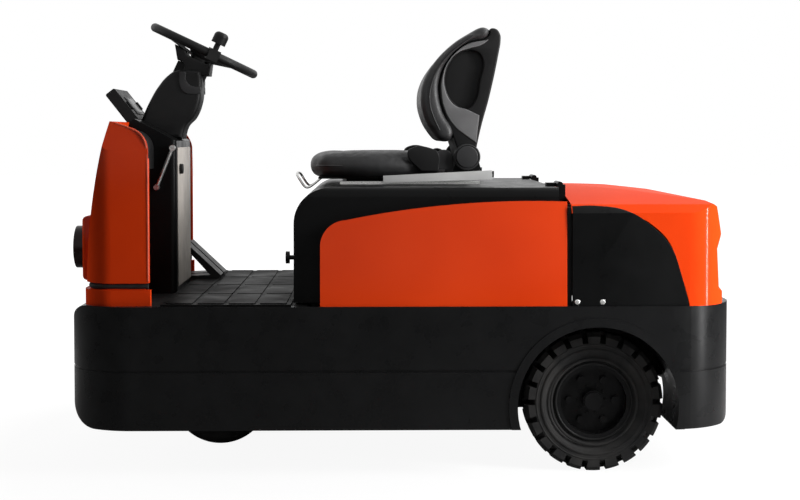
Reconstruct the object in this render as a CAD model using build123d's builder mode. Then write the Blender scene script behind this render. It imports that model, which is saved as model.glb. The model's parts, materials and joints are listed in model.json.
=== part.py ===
from build123d import *
import os
from math import atan2, cos, degrees, hypot, radians, sin

# Airport baggage tug: a three-wheel electric tow tractor with one steered front
# wheel, two driven rear wheels, a front cowl and a seat on the battery hood.
# Millimetres. The front points to -X, the vehicle's left side to -Y, +Z is up,
# and the origin is on the ground at the middle of the overall box.

# Lower body, the black apron all round
body_length = 1980
body_width = 1080
plan_corner = 200
apron_bottom = 143
apron_top = 505
apron_nose_round = 65
apron_chin_round = 88
apron_tail_round = 42
apron_wall = 12
bumper_wall = 30
rear_bumper_wall = 50
bumper_deck = 12
bumper_length = 210
rear_bumper_length = 145
seam_height = 316
seam_width = 8
seam_depth = 5

# Wheels
rear_axle_setback = 1563
wheelbase = 1157
rear_track = 800
rear_tyre_diameter = 416
rear_tyre_width = 110
rear_rim_diameter = 208
rear_rim_width = 84
rim_flange = 15
rim_wall = 5
lug_count = 22
lug_groove = 17
lug_depth = 11
lug_reach = 34
front_tyre_diameter = 320
front_tyre_width = 125
front_rim_diameter = 190
shaft_clearance = 0.05

# Wheel arch
arch_gap = 31
arch_lip_width = 23
arch_lip_proud = 4
arch_liner = 3

# Chassis rails and cross members
rail_spacing = 560
rail_width = 60
rail_height = 120
rail_bottom = 265
rail_wall = 8
cross_height = 20

# Front turret
turret_plate = 15
bridge_length = 240
crown_plate = 20
crown_gap = 6
fork_leg = 20
fork_side_gap = 12
wheel_top_gap = 14
king_pin_diameter = 60
front_axle_diameter = 30

# Rear axle
axle_tube_diameter = 80
axle_shaft_diameter = 40
differential_diameter = 190
differential_width = 130
motor_diameter = 200
motor_length = 270

# Front cowl
cowl_setback = 55
cowl_rear = 249
cowl_width = 1020
cowl_corner = 85
cowl_top = 1045
cowl_lean = 79
cowl_bulge_x = 82
cowl_bulge_z = 810
cowl_top_drop = 33
cowl_round = 75
cowl_wall = 6
cowl_flange = 16
cowl_shoulder_height = 85
cowl_shoulder_lean = 26
cowl_base_height = 47
cowl_neck_height = 20
cowl_neck_inset = 9
cowl_base_proud = 5
cowl_joint_z = 792

# Headlamps on the cowl
lamp_spacing = 660
lamp_z = 684
lamp_radius = 80
lamp_depth = 24
lamp_box_width = 176
lamp_box_height = 222
lamp_box_front = 28
lamp_box_round = 26

# Console, dash and steering column
console_front = 130
console_rear = 285
console_width = 354
console_rear_top = 986
console_front_top = 1055
console_round = 18
dash_rear = 215
dash_bottom = 900
dash_top = 1030
column_width = 112
column_round = 14
hand_wheel_setback = 355
hand_wheel_height = 1278
hand_wheel_tilt = 25.4
hand_wheel_diameter = 376
hand_wheel_rim = 28
hub_radius = 34
hub_height = 30
hub_drop = 12
spoke_width = 26
spoke_thickness = 8
column_shaft_radius = 10
column_head_radius = 42
column_head_length = 112
head_gap = 8
knob_bearing = -73
knob_clamp = 36
panel_length = 165
panel_width = 230
panel_thickness = 36
strut_radius = 6
strut_eye = 9

# Floor
floor_plate_thickness = 12
mat_thickness = 6
mat_pad_height = 3
mat_columns = 4
mat_rows = 4
mat_gap = 14
mat_edge = 12
pedal_width = 82

# Battery hood and side panels
hood_front = 671
hood_rear = 1452
hood_top = 850
hood_width = 992
hood_front_round = 105
hood_side_round = 28
hood_wall = 6
hood_floor_gap = 7
hinge_setback = 1466
hinge_rise = 6
hinge_radius = 9
hinge_pin_radius = 4
hinge_length = 96
hinge_spacing = 700
side_panel_front = 750
side_panel_rear = 1471
side_panel_wall = 8
side_panel_lean = 2.5
battery_front = 720
battery_gap = 10
battery_length = 590
battery_width = 840
battery_height = 400

# Rear hood
rear_hood_front = 1484
rear_hood_width = 1064
rear_hood_top = 845
rear_hood_shoulder = 802
rear_hood_corner = 120
rear_hood_wall = 7
inset_sink = 2
bulkhead_wall = 8
bulkhead_setback = 1474

# Seat
seat_width = 480
cushion_front = 713
cushion_length = 400
cushion_bottom = 874
cushion_top = 953
cushion_round = 26
recline_setback = 1194
recline_height = 937
recline_knob_radius = 41
seat_rail_spacing = 340
seat_rail_width = 34
seat_rail_height = 9
seat_rail_front = 800
seat_rail_length = 440
seat_slide_clearance = 0.6
seat_pan_thickness = 6

# Tow coupling
coupling_reach = 75
jaw_width = 110
jaw_opening = 60
jaw_plate = 18
jaw_height = 300
tow_pin_diameter = 30

overall_length = body_length + coupling_reach
front_x = -overall_length / 2
rear_x = front_x + body_length
side_y = body_width / 2
rear_axle_x = front_x + rear_axle_setback
front_axle_x = rear_axle_x - wheelbase
rear_axle_z = rear_tyre_diameter / 2
front_axle_z = front_tyre_diameter / 2
arch_radius = rear_tyre_diameter / 2 + arch_gap
rail_top = rail_bottom + rail_height
rail_y = rail_spacing / 2
mat_top = apron_top + mat_thickness + mat_pad_height
past = 2 * body_length
overrun = 1
centre_x = (front_x + rear_x) / 2


def back(distance):
    """The X of a point at this distance behind the front end."""
    return front_x + distance


def save(piece, name):
    """Label a finished piece and write it as one STEP file."""
    piece.part.label = name
    export_step(piece.part, f"parts/{name}.step")


def mirrored(piece):
    """The same piece on the vehicle's other side."""
    with BuildPart() as other:
        add(mirror(piece.part, about=Plane.XZ, mode=Mode.PRIVATE))
    return other


os.makedirs("parts", exist_ok=True)


# Lower body: one rounded block, hollowed and cut into bumpers and side aprons

def body_plan(grow):
    """Draw the body's rounded plan outline, larger all round by grow."""
    with Locations((centre_x, 0)):
        RectangleRounded(
            body_length + 2 * (grow + overrun), body_width + 2 * grow, plan_corner + grow
        )


def body_block(inset, top, bottom):
    """The lower body as a solid, smaller all round by the inset."""
    half_length = body_length / 2 - inset
    with BuildPart() as block:
        with BuildSketch(Plane.XZ) as side:
            with BuildLine():
                Polyline(
                    (centre_x - half_length, bottom),
                    (centre_x + half_length, bottom),
                    (centre_x + half_length, top),
                    (centre_x - half_length, top),
                    close=True,
                )
            make_face()
            chin = side.vertices().group_by(Axis.Y)[0].sort_by(Axis.X)[0]
            fillet(chin, apron_chin_round - inset)
            nose = side.vertices().group_by(Axis.Y)[-1].sort_by(Axis.X)[0]
            fillet(nose, max(apron_nose_round - inset, 2))
            tail = side.vertices().group_by(Axis.Y)[0].sort_by(Axis.X)[-1]
            fillet(tail, max(apron_tail_round - inset, 2))
        extrude(amount=body_width, both=True)
        with BuildSketch(Plane.XY):
            body_plan(-inset)
        extrude(amount=2 * apron_top, mode=Mode.INTERSECT)
    return block.part


def seam_ring():
    """The shallow groove that runs round the apron at the seam."""
    with BuildPart() as ring:
        with BuildSketch(Plane.XY.offset(seam_height - seam_width / 2)):
            with Locations((centre_x, 0)):
                Rectangle(body_length + seam_width, body_width + seam_width)
                RectangleRounded(
                    body_length - 2 * seam_depth,
                    body_width - 2 * seam_depth,
                    plan_corner - seam_depth,
                    mode=Mode.SUBTRACT,
                )
        extrude(amount=seam_width)
    return ring.part


def x_slab(from_x, to_x):
    """A slab that keeps what lies between two X values."""
    Box(
        to_x - from_x, past, past,
        mode=Mode.INTERSECT,
    )


apron_outer = body_block(0, apron_top, apron_bottom)
apron_seam = seam_ring()


def apron_section(from_x, to_x, wall, deck):
    """One length of the apron, with its wall and, on the bumpers, its deck."""
    hollow = body_block(wall, apron_top - deck, apron_bottom - wall)
    with BuildPart() as section:
        add(apron_outer)
        add(hollow, mode=Mode.SUBTRACT)
        add(apron_seam, mode=Mode.SUBTRACT)
        with Locations(((from_x + to_x) / 2, 0, 0)):
            Box(to_x - from_x, past, past, mode=Mode.INTERSECT)
        with Locations((rear_axle_x, 0, rear_axle_z)):
            Cylinder(arch_radius, past, rotation=(90, 0, 0), mode=Mode.SUBTRACT)
    return section.part


front_split_x = back(bumper_length)
rear_split_x = rear_x - rear_bumper_length

front_section = apron_section(front_x - 1, front_split_x, bumper_wall, bumper_deck)
with BuildPart() as front_bumper:
    add(front_section)
save(front_bumper, "front_bumper")

rear_section = apron_section(
    rear_split_x, rear_x + 1, rear_bumper_wall, bumper_deck
)
with BuildPart() as rear_bumper:
    add(rear_section)
save(rear_bumper, "rear_bumper")

side_section = apron_section(front_split_x, rear_split_x, apron_wall, -1)
with BuildPart() as apron_left:
    add(side_section)
    with Locations((0, -past / 2, 0)):
        Box(past, past, past, mode=Mode.INTERSECT)
save(apron_left, "apron_left")
apron_right = mirrored(apron_left)
save(apron_right, "apron_right")


# Wheel arches: a proud lip on the apron and a thin liner reaching in to the rail

liner_inner_y = rail_y + rail_width / 2
arch_plane = Plane(origin=(rear_axle_x, 0, rear_axle_z), z_dir=(0, -1, 0), x_dir=(1, 0, 0))

with BuildPart() as wheel_arch_left:
    with BuildSketch(arch_plane.offset(side_y - plan_corner)):
        Circle(arch_radius + arch_lip_width)
        Circle(arch_radius - arch_liner, mode=Mode.SUBTRACT)
    extrude(amount=plan_corner + arch_lip_proud)
    with BuildSketch(Plane.XY):
        body_plan(arch_lip_proud)
    extrude(amount=2 * apron_top, mode=Mode.INTERSECT)
    with BuildSketch(Plane.XY):
        body_plan(0)
    extrude(amount=2 * apron_top, mode=Mode.SUBTRACT)
    with BuildSketch(arch_plane.offset(liner_inner_y)):
        Circle(arch_radius)
        Circle(arch_radius - arch_liner, mode=Mode.SUBTRACT)
    extrude(amount=side_y - liner_inner_y)
    with Locations((rear_axle_x, 0, apron_bottom - past / 2)):
        Box(past, past, past, mode=Mode.SUBTRACT)
save(wheel_arch_left, "wheel_arch_left")
save(mirrored(wheel_arch_left), "wheel_arch_right")


# Chassis: two hollow rails, cross members and the bridge that holds the turret

rail_front_x = front_x + bumper_wall
rail_rear_x = rear_x - rear_bumper_wall
rail_length = rail_rear_x - rail_front_x
rail_middle_x = (rail_front_x + rail_rear_x) / 2
apron_inner_width = body_width - 2 * apron_wall
cross_places = (
    front_axle_x - (bridge_length + rail_width) / 2,
    back(battery_front) + rail_width / 2,
    back(battery_front) + battery_length - rail_width / 2,
)

with BuildPart() as rail_left:
    with BuildSketch(Plane.YZ.offset(rail_front_x)):
        with Locations((-rail_y, rail_bottom + rail_height / 2)):
            Rectangle(rail_width, rail_height)
        with Locations((-rail_y - rail_wall, rail_bottom + rail_height / 2)):
            Rectangle(rail_width, rail_height - 2 * rail_wall, mode=Mode.SUBTRACT)
    extrude(amount=rail_length)
save(rail_left, "rail_left")
save(mirrored(rail_left), "rail_right")

with BuildPart() as cross_members:
    for place in cross_places:
        with Locations((place, 0, rail_top + cross_height / 2)):
            Box(rail_width, apron_inner_width, cross_height)
save(cross_members, "cross_members")

with BuildPart() as turret_bridge:
    with Locations((front_axle_x, 0, rail_top + turret_plate / 2)):
        Box(bridge_length, rail_spacing + rail_width, turret_plate)
        Cylinder(
            king_pin_diameter / 2 + shaft_clearance, past, mode=Mode.SUBTRACT
        )
save(turret_bridge, "turret_bridge")


# Floor plate between cowl and seat, with the ribbed rubber mat on it

floor_front_x = front_split_x
floor_rear_x = back(battery_front) - battery_gap
with BuildPart() as floor_plate:
    with Locations((
        (floor_front_x + floor_rear_x) / 2, 0, apron_top - floor_plate_thickness / 2
    )):
        Box(floor_rear_x - floor_front_x, apron_inner_width, floor_plate_thickness)
save(floor_plate, "floor_plate")

mat_front_x = back(console_rear)
mat_rear_x = back(hood_front) - hood_floor_gap
mat_length = mat_rear_x - mat_front_x
mat_width = body_width - 2 * mat_edge
pad_length = (mat_length - (mat_columns + 1) * mat_gap) / mat_columns
pad_width = (mat_width - (mat_rows + 1) * mat_gap) / mat_rows
with BuildPart() as floor_mat:
    with BuildSketch(Plane.XY.offset(apron_top)):
        with Locations(((mat_front_x + mat_rear_x) / 2, 0)):
            Rectangle(mat_length, mat_width)
    extrude(amount=mat_thickness)
    with BuildSketch(Plane.XY.offset(apron_top + mat_thickness)):
        with Locations(((mat_front_x + mat_rear_x) / 2, 0)):
            with GridLocations(
                pad_length + mat_gap, pad_width + mat_gap, mat_columns, mat_rows
            ):
                RectangleRounded(pad_length, pad_width, mat_gap / 2)
    extrude(amount=mat_pad_height)
save(floor_mat, "floor_mat")


# Front cowl: a bent U of sheet, curved in side view and drawn in at its shoulder

def cowl_block(inset, bottom, top_rise, rear_rise):
    """The cowl as a solid, smaller by the inset, longer where it stays open."""
    cowl_z = cowl_top + top_rise
    with BuildPart() as block:
        with BuildSketch(Plane.XZ) as side:
            with BuildLine():
                front = ThreePointArc(
                    (back(cowl_setback) + inset, apron_top),
                    (back(cowl_bulge_x) + inset, cowl_bulge_z),
                    (back(cowl_setback + cowl_lean) + inset, cowl_top),
                )
                Polyline(
                    front @ 1,
                    (back(cowl_setback + cowl_lean) + inset, cowl_z),
                    (back(cowl_rear) + rear_rise, cowl_z - cowl_top_drop),
                    (back(cowl_rear) + rear_rise, apron_top),
                    front @ 0,
                ) if top_rise else Polyline(
                    front @ 1,
                    (back(cowl_rear), cowl_top - cowl_top_drop),
                    (back(cowl_rear), apron_top),
                    front @ 0,
                )
            make_face()
            if not top_rise:
                corner = side.vertices().group_by(Axis.X)[-1].sort_by(Axis.Y)[-1]
                fillet(corner, cowl_round)
        extrude(amount=cowl_width, both=True)
        with BuildSketch(Plane.XY.offset(bottom)) as plan:
            with Locations((back(cowl_setback) + inset - overrun, 0)):
                Rectangle(
                    past, cowl_width - 2 * inset, align=(Align.MIN, Align.CENTER)
                )
            fillet(plan.vertices().group_by(Axis.X)[0], cowl_corner - inset)
        extrude(amount=past, mode=Mode.INTERSECT)
        shoulder_z = cowl_top - cowl_shoulder_height
        half = cowl_width / 2 - inset
        with BuildSketch(Plane.YZ.offset(front_x)):
            with BuildLine():
                Polyline(
                    (-half, 0),
                    (half, 0),
                    (half, shoulder_z),
                    (half - cowl_shoulder_lean, cowl_top),
                    (half - cowl_shoulder_lean, cowl_top + past),
                    (cowl_shoulder_lean - half, cowl_top + past),
                    (cowl_shoulder_lean - half, cowl_top),
                    (-half, shoulder_z),
                    close=True,
                )
            make_face()
        extrude(amount=past, mode=Mode.INTERSECT)
    return block.part


cowl_bottom = apron_top + cowl_base_height + cowl_neck_height
cowl_outer = cowl_block(0, cowl_bottom, 0, 0)
cowl_inner = cowl_block(cowl_wall, apron_top, 100, 100)
with BuildPart() as front_cowl:
    add(cowl_outer)
    add(cowl_inner, mode=Mode.SUBTRACT)
    flange_y = cowl_width / 2 - cowl_wall - cowl_flange / 2
    flange_z = (cowl_bottom + cowl_top - cowl_top_drop - cowl_round) / 2
    flange_height = cowl_top - cowl_top_drop - cowl_round - cowl_bottom
    with Locations(
        (back(cowl_rear) - cowl_wall / 2, -flange_y, flange_z),
        (back(cowl_rear) - cowl_wall / 2, flange_y, flange_z),
    ):
        Box(cowl_wall, cowl_flange, flange_height)
save(front_cowl, "front_cowl")

with BuildPart() as cowl_base:
    with BuildSketch(Plane.XY.offset(apron_top)) as band:
        with Locations((back(cowl_setback) - cowl_base_proud, 0)):
            Rectangle(
                cowl_rear - cowl_setback + 2 * cowl_base_proud,
                cowl_width + 2 * cowl_base_proud,
                align=(Align.MIN, Align.CENTER),
            )
        fillet(band.vertices().group_by(Axis.X)[0], cowl_corner + cowl_base_proud)
    extrude(amount=cowl_base_height)
    with BuildSketch(Plane.XY.offset(apron_top + cowl_base_height)) as neck:
        with Locations((back(cowl_setback) + cowl_neck_inset, 0)):
            Rectangle(
                cowl_rear - cowl_setback - 2 * cowl_neck_inset,
                cowl_width - 2 * cowl_neck_inset,
                align=(Align.MIN, Align.CENTER),
            )
        fillet(neck.vertices().group_by(Axis.X)[0], cowl_corner - cowl_neck_inset)
    extrude(amount=cowl_neck_height)
    with BuildSketch(Plane.XY.offset(apron_top)) as room:
        with Locations((back(cowl_setback) + 2 * cowl_neck_inset, 0)):
            Rectangle(
                past, cowl_width - 4 * cowl_neck_inset, align=(Align.MIN, Align.CENTER)
            )
        fillet(room.vertices().group_by(Axis.X)[0], cowl_corner - 2 * cowl_neck_inset)
    extrude(amount=cowl_base_height + cowl_neck_height, mode=Mode.SUBTRACT)
save(cowl_base, "cowl_base")


# Headlamps: a moulded box on the cowl's front, with a round lamp in it

def headlamp(side):
    """One headlamp, on the left for -1 and on the right for 1."""
    lamp_y = side * lamp_spacing / 2
    with BuildPart() as lamp:
        with BuildSketch(Plane.YZ.offset(back(lamp_box_front))):
            with Locations((lamp_y, lamp_z)):
                RectangleRounded(lamp_box_width, lamp_box_height, lamp_box_round)
        extrude(amount=cowl_rear - lamp_box_front)
        front_rim = lamp.faces().sort_by(Axis.X)[0].edges()
        fillet(front_rim, lamp_box_round / 2)
        add(cowl_outer, mode=Mode.SUBTRACT)
        with Locations((back(cowl_rear), lamp_y, lamp_z)):
            Box(
                cowl_rear - cowl_setback - cowl_lean, past / 8, past / 8,
                align=(Align.MAX, Align.CENTER, Align.CENTER), mode=Mode.SUBTRACT,
            )
        with Locations((back(lamp_box_front), lamp_y, lamp_z)):
            Cylinder(
                lamp_radius, lamp_depth + 1, rotation=(0, 90, 0),
                align=(Align.CENTER, Align.CENTER, Align.MAX),
            )
    return lamp


save(headlamp(-1), "headlamp_left")
save(headlamp(1), "headlamp_right")


# Console between the driver's legs and the cowl, up to the steering column

with BuildPart() as console:
    with BuildSketch(Plane.XZ):
        with BuildLine():
            Polyline(
                (back(console_front), apron_top),
                (back(console_rear), apron_top),
                (back(console_rear), console_rear_top),
                (back(console_front) + 26, console_front_top),
                (back(console_front), console_front_top - 15),
                close=True,
            )
        make_face()
    extrude(amount=console_width / 2, both=True)
    fillet(console.edges().filter_by(Axis.Z).group_by(Axis.X)[-1], console_round)
    add(cowl_inner, mode=Mode.INTERSECT)
save(console, "console")

with BuildPart() as dash_cover:
    with BuildSketch(Plane.XZ) as dash_side:
        with BuildLine():
            Polyline(
                (front_x, dash_bottom),
                (back(dash_rear), dash_bottom),
                (back(dash_rear), dash_top - 22),
                (front_x, dash_top + 30),
                close=True,
            )
        make_face()
        nose = dash_side.vertices().group_by(Axis.X)[-1].sort_by(Axis.Y)[-1]
        fillet(nose, 60)
    extrude(amount=cowl_width, both=True)
    add(cowl_inner, mode=Mode.INTERSECT)
    add(console.part, mode=Mode.SUBTRACT)
save(dash_cover, "dash_cover")


# Steering column: head with its shaft, cover, hand wheel and spinner knob

wheel_centre = Vector(back(hand_wheel_setback), 0, hand_wheel_height)
tilt = radians(hand_wheel_tilt)
column_axis = Vector(sin(tilt), 0, cos(tilt))
spin_axis = Axis(wheel_centre, column_axis)
column_plane = Plane(origin=wheel_centre, x_dir=(cos(tilt), 0, -sin(tilt)), z_dir=column_axis)
hub_bottom = -hub_drop - hub_height
head_top = hub_bottom - head_gap

with BuildPart(column_plane.offset(head_top)) as column_head:
    Cylinder(
        column_head_radius, column_head_length,
        align=(Align.CENTER, Align.CENTER, Align.MAX),
    )
    fillet(column_head.edges().filter_by(GeomType.CIRCLE).sort_by(Axis.Z)[-1], 8)
    Cylinder(
        column_shaft_radius, head_gap + hub_height - 2,
        align=(Align.CENTER, Align.CENTER, Align.MIN),
    )
    with Locations((-column_head_radius - 4, 0, -34)):
        Box(30, 44, 40)
save(column_head, "column_head")

with BuildPart() as column_cover:
    with BuildSketch(Plane.XZ) as cover_side:
        with BuildLine():
            Polyline(
                (back(console_front) + 26, console_front_top),
                (back(261), 1197),
                (back(300), 1227),
                (back(350), 1204),
                (back(343), 1088),
                (back(console_rear), console_rear_top),
                close=True,
            )
        make_face()
        fillet(cover_side.vertices().group_by(Axis.X)[-1], 12)
    extrude(amount=column_width / 2, both=True)
    rims = column_cover.faces().filter_by(Axis.Y).edges()
    fillet(rims.filter_by(lambda e: e.center().Z > console_front_top + 8), column_round)
    add(column_head.part, mode=Mode.SUBTRACT)
save(column_cover, "column_cover")

ring_radius = (hand_wheel_diameter - hand_wheel_rim) / 2
spoke_inner = hub_radius - 4
spoke_outer = ring_radius - hand_wheel_rim / 4
spoke_rise = hub_drop + hub_height / 2
spoke_run = spoke_outer - spoke_inner
knob_x = ring_radius * cos(radians(knob_bearing))
knob_y = ring_radius * sin(radians(knob_bearing))
with BuildPart(column_plane) as hand_wheel:
    Torus(ring_radius, hand_wheel_rim / 2)
    with Locations((0, 0, -hub_drop)):
        Cylinder(hub_radius, hub_height, align=(Align.CENTER, Align.CENTER, Align.MAX))
    with PolarLocations((spoke_inner + spoke_outer) / 2, 3, start_angle=90):
        with Locations((0, 0, -spoke_rise / 2)):
            Box(
                hypot(spoke_run, spoke_rise), spoke_width, spoke_thickness,
                rotation=(0, -degrees(atan2(spoke_rise, spoke_run)), 0),
            )
    with Locations((knob_x, knob_y, 0)):
        Box(knob_clamp, knob_clamp, knob_clamp, rotation=(0, 0, knob_bearing))
    with Locations((0, 0, hub_bottom)):
        Cylinder(
            column_shaft_radius + shaft_clearance, hub_height - 2,
            align=(Align.CENTER, Align.CENTER, Align.MIN), mode=Mode.SUBTRACT,
        )
save(hand_wheel, "hand_wheel")

with BuildPart(column_plane) as spinner:
    with Locations((knob_x, knob_y, knob_clamp / 2)):
        Cylinder(9, 30, align=(Align.CENTER, Align.CENTER, Align.MIN))
    with Locations((knob_x, knob_y, knob_clamp / 2 + 20)):
        Cylinder(23, 38, align=(Align.CENTER, Align.CENTER, Align.MIN))
    knob_top = spinner.edges().filter_by(GeomType.CIRCLE).sort_by(spin_axis)[-1]
    fillet(knob_top, 14)
save(spinner, "spinner_knob")

with BuildPart() as instrument_panel:
    with BuildSketch(Plane.XZ) as panel_side:
        with Locations(Location((back(118), 1078), 128)):
            Rectangle(panel_length, panel_thickness)
        fillet(panel_side.vertices(), 6)
    extrude(amount=panel_width / 2, both=True)
    add(cowl_outer, mode=Mode.SUBTRACT)
    add(dash_cover.part, mode=Mode.SUBTRACT)
    add(console.part, mode=Mode.SUBTRACT)
    add(column_cover.part, mode=Mode.SUBTRACT)
save(instrument_panel, "instrument_panel")

strut_low = Vector(back(225), -console_width / 2 - strut_radius - 2, 841)
strut_high = Vector(back(console_rear) - 10, strut_low.Y, console_rear_top - 22)
with BuildPart() as column_strut:
    with BuildSketch(Plane(origin=strut_low, z_dir=strut_high - strut_low)):
        Circle(strut_radius)
    extrude(amount=(strut_high - strut_low).length)
    for end in (strut_low, strut_high):
        eye = Plane(origin=end - Vector(0, strut_eye, 0), z_dir=(0, 1, 0))
        with BuildSketch(eye):
            Circle(strut_eye)
        extrude(amount=strut_eye + strut_radius + 2)
save(column_strut, "column_strut")


# Pedals: floor-hinged plates to the right of the console

def pedal(middle_y):
    """One pedal with its base bar, at this distance from the middle."""
    with BuildPart() as piece:
        with BuildSketch(Plane.XZ.offset(-middle_y)):
            with BuildLine():
                Polyline(
                    (back(256), mat_top),
                    (back(374), mat_top),
                    (back(382), mat_top + 12),
                    (back(266), mat_top + 121),
                    (back(256), mat_top + 110),
                    (back(346), mat_top + 12),
                    (back(256), mat_top + 8),
                    close=True,
                )
            make_face()
        extrude(amount=pedal_width / 2, both=True)
    return piece


save(pedal(console_width / 2 + 70), "brake_pedal")
save(pedal(console_width / 2 + 175), "accelerator_pedal")


# Battery block, bulkhead and battery hood

with BuildPart() as battery:
    with Locations((back(battery_front), 0, rail_top + cross_height)):
        Box(
            battery_length, battery_width, battery_height,
            align=(Align.MIN, Align.CENTER, Align.MIN),
        )
save(battery, "battery_block")


def hood_block(inset, bottom, rear):
    """The battery hood as a solid, smaller by the inset."""
    with BuildPart() as block:
        with BuildSketch(Plane.XZ) as side:
            with BuildLine():
                Polyline(
                    (back(hood_front) + inset, bottom),
                    (rear, bottom),
                    (rear, hood_top - inset),
                    (back(hood_front) + inset, hood_top - inset),
                    close=True,
                )
            make_face()
            corner = side.vertices().group_by(Axis.Y)[-1].sort_by(Axis.X)[0]
            fillet(corner, hood_front_round - inset)
        extrude(amount=body_width, both=True)
        with BuildSketch(Plane.YZ.offset(front_x)) as cross:
            with Locations((0, hood_top - inset + overrun)):
                Rectangle(
                    hood_width - 2 * inset, past, align=(Align.CENTER, Align.MAX)
                )
            fillet(cross.vertices().group_by(Axis.Y)[-1], hood_side_round - inset)
        extrude(amount=past, mode=Mode.INTERSECT)
    return block.part


hinge_x = back(hinge_setback)
hinge_z = hood_top + hinge_rise
hood_outer = hood_block(0, apron_top + hood_floor_gap, back(hood_rear))
hood_inner = hood_block(hood_wall, 0, back(hood_rear) + past)
knuckle = hinge_length / 3
hinge_plane = Plane(origin=(hinge_x, 0, hinge_z), z_dir=(0, 1, 0), x_dir=(1, 0, 0))
with BuildPart() as battery_hood:
    add(hood_outer)
    add(hood_inner, mode=Mode.SUBTRACT)
    for side in (-1, 1):
        with Locations((back(hood_rear) - 24, side * hinge_spacing / 2, hood_top)):
            Box(
                hinge_x - back(hood_rear) + 24, knuckle - 2, hinge_rise + hinge_radius / 2,
                align=(Align.MIN, Align.CENTER, Align.MIN),
            )
        with Locations(Location((hinge_x, side * hinge_spacing / 2, hinge_z), (90, 0, 0))):
            Cylinder(hinge_radius, knuckle - 2)
            Cylinder(hinge_pin_radius + shaft_clearance, hinge_length, mode=Mode.SUBTRACT)
save(battery_hood, "battery_hood")

bulkhead_x = back(bulkhead_setback)
bulkhead_bottom = rear_axle_z + arch_radius + arch_liner
bulkhead_top = rear_hood_shoulder - bulkhead_wall
ear_bottom = bulkhead_top - hinge_radius
with BuildPart() as bulkhead:
    with BuildSketch(Plane.YZ.offset(bulkhead_x)):
        with Locations((0, bulkhead_bottom)):
            Rectangle(
                apron_inner_width, bulkhead_top - bulkhead_bottom,
                align=(Align.CENTER, Align.MIN),
            )
    extrude(amount=bulkhead_wall)
    for side in (-1, 1):
        for end in (-1, 1):
            ear_y = side * hinge_spacing / 2 + end * knuckle
            with Locations((hinge_x, ear_y, ear_bottom)):
                Box(
                    bulkhead_x + bulkhead_wall - hinge_x, knuckle, hinge_z - ear_bottom,
                    align=(Align.MIN, Align.CENTER, Align.MIN),
                )
            with Locations(Location((hinge_x, ear_y, hinge_z), (90, 0, 0))):
                Cylinder(hinge_radius, knuckle)
        with Locations(Location((hinge_x, side * hinge_spacing / 2, hinge_z), (90, 0, 0))):
            Cylinder(hinge_pin_radius, hinge_length)
save(bulkhead, "bulkhead")

with BuildPart() as hood_knob:
    with Locations(Location((back(hood_front), -250, 625), (0, -90, 0))):
        Cylinder(7, 26, align=(Align.CENTER, Align.CENTER, Align.MIN))
    with Locations(Location((back(hood_front) - 26, -250, 625), (0, -90, 0))):
        Cylinder(19, 12, align=(Align.CENTER, Align.CENTER, Align.MIN))
save(hood_knob, "hood_knob")

panel_plane = Plane(
    origin=(0, -side_y + 4, apron_top),
    x_dir=(1, 0, 0),
    z_dir=(0, -cos(radians(side_panel_lean)), sin(radians(side_panel_lean))),
)
with BuildPart() as side_panel_left:
    with BuildSketch(panel_plane):
        with BuildLine():
            left = Line((back(side_panel_front), -6), (back(side_panel_front), 180))
            corner = ThreePointArc(
                left @ 1,
                (back(side_panel_front) + 24, 231),
                (back(side_panel_front) + 73, 252),
            )
            top = ThreePointArc(
                corner @ 1,
                (back(1070), 291),
                (back(side_panel_rear), 306),
            )
            Polyline(top @ 1, (back(side_panel_rear), -6), left @ 0)
        make_face()
    extrude(amount=-side_panel_wall)
    with Locations((0, 0, apron_top - past / 2)):
        Box(past, past, past, mode=Mode.SUBTRACT)
save(side_panel_left, "side_panel_left")
save(mirrored(side_panel_left), "side_panel_right")


# Rear hood: crowned shell over the drive, with a black panel let into each side

def rear_hood_block(inset, bottom, front_extra):
    """The rear hood as a solid, smaller by the inset."""
    with BuildPart() as block:
        with BuildSketch(Plane.XZ):
            with BuildLine():
                Polyline(
                    (back(rear_hood_front) - front_extra, bottom),
                    (back(rear_hood_front) - front_extra, rear_hood_top + 3 - inset),
                    (back(1700), rear_hood_top - 10 - inset),
                    (back(1890) - inset, rear_hood_top - 34 - inset),
                    (back(1917) - inset, rear_hood_top - 50 - inset),
                    (back(1936) - inset, 712),
                    (back(1919) - inset, 670),
                    (back(1927) - inset, 556),
                    (back(1950) - inset, 535),
                    (back(1950) - inset, bottom),
                    close=True,
                )
            make_face()
        extrude(amount=body_width, both=True)
        half = rear_hood_width / 2 - inset
        with BuildSketch(Plane.YZ.offset(front_x)) as cross:
            with BuildLine():
                crown = ThreePointArc(
                    (-half + 20, rear_hood_shoulder - inset),
                    (0, rear_hood_top - inset),
                    (half - 20, rear_hood_shoulder - inset),
                )
                Polyline(
                    crown @ 1,
                    (half, rear_hood_shoulder - 24 - inset),
                    (half, bottom),
                    (-half, bottom),
                    (-half, rear_hood_shoulder - 24 - inset),
                    crown @ 0,
                )
            make_face()
        extrude(amount=past, mode=Mode.INTERSECT)
        with BuildSketch(Plane.XY) as plan:
            with Locations((back(1950) - inset + overrun, 0)):
                Rectangle(past, 2 * half, align=(Align.MAX, Align.CENTER))
            fillet(plan.vertices().group_by(Axis.X)[-1], rear_hood_corner - inset)
        extrude(amount=past, mode=Mode.INTERSECT)
    return block.part


with BuildPart() as inset_prism:
    with BuildSketch(Plane.XZ):
        with BuildLine():
            edge = Spline(
                (back(1831), apron_top),
                (back(1799), 618),
                (back(1764), 700),
                (back(1720), 742),
                (back(1660), 768),
                tangents=[(-0.2, 1), (-1, 0.1)],
            )
            Polyline(
                edge @ 1,
                (back(rear_hood_front), 776),
                (back(rear_hood_front), apron_top),
                edge @ 0,
            )
        make_face()
    extrude(amount=body_width, both=True)

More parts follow.
